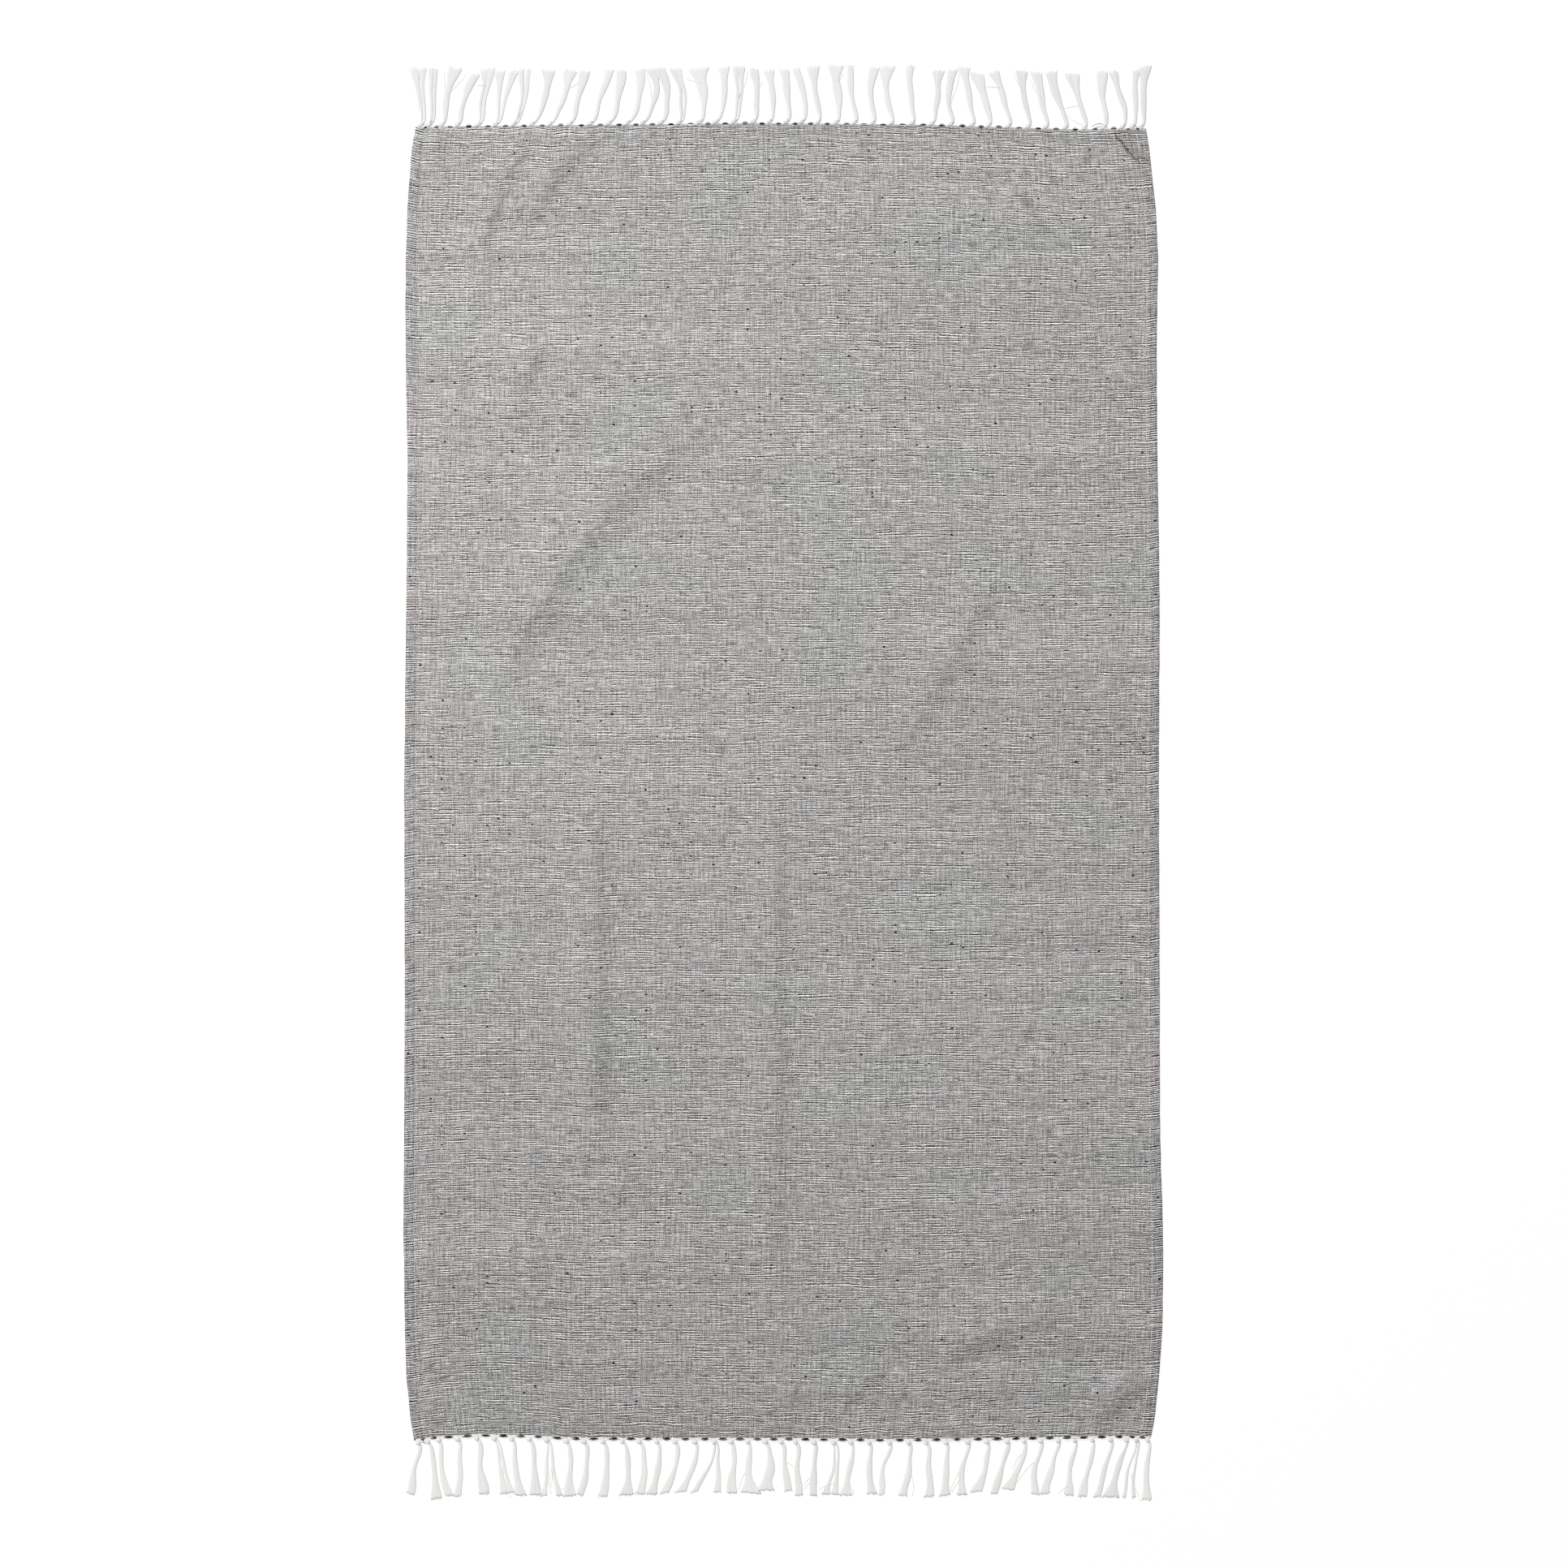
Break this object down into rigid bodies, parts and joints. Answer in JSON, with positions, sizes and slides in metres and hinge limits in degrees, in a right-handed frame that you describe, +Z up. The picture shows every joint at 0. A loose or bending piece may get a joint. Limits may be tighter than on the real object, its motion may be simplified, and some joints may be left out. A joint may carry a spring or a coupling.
{
  "type": "hammam towel",
  "caption": "Thin flat-woven cotton bath towel laid flat, grey slub weave, soft creases, hemmed sides and a knotted off-white fringe along both ends.",
  "frame": {"origin": "on the floor, under the middle of the whole towel with its fringes", "axes": "+Y along the towel towards the top fringe, +X across it, +Z up out of the cloth"},
  "size_m": [1.001, 1.8963, 0.0066],
  "materials": {
    "slub_cotton": "matte plain weave, white warp with black and white slub weft in short broken lines",
    "fringe_yarn": "matte off-white loose cotton yarn"
  },
  "bodies": {
    "root": {"towel_cloth": "slub_cotton", "fringe_top": "fringe_yarn", "fringe_bottom": "fringe_yarn"}
  },
  "joints": []
}
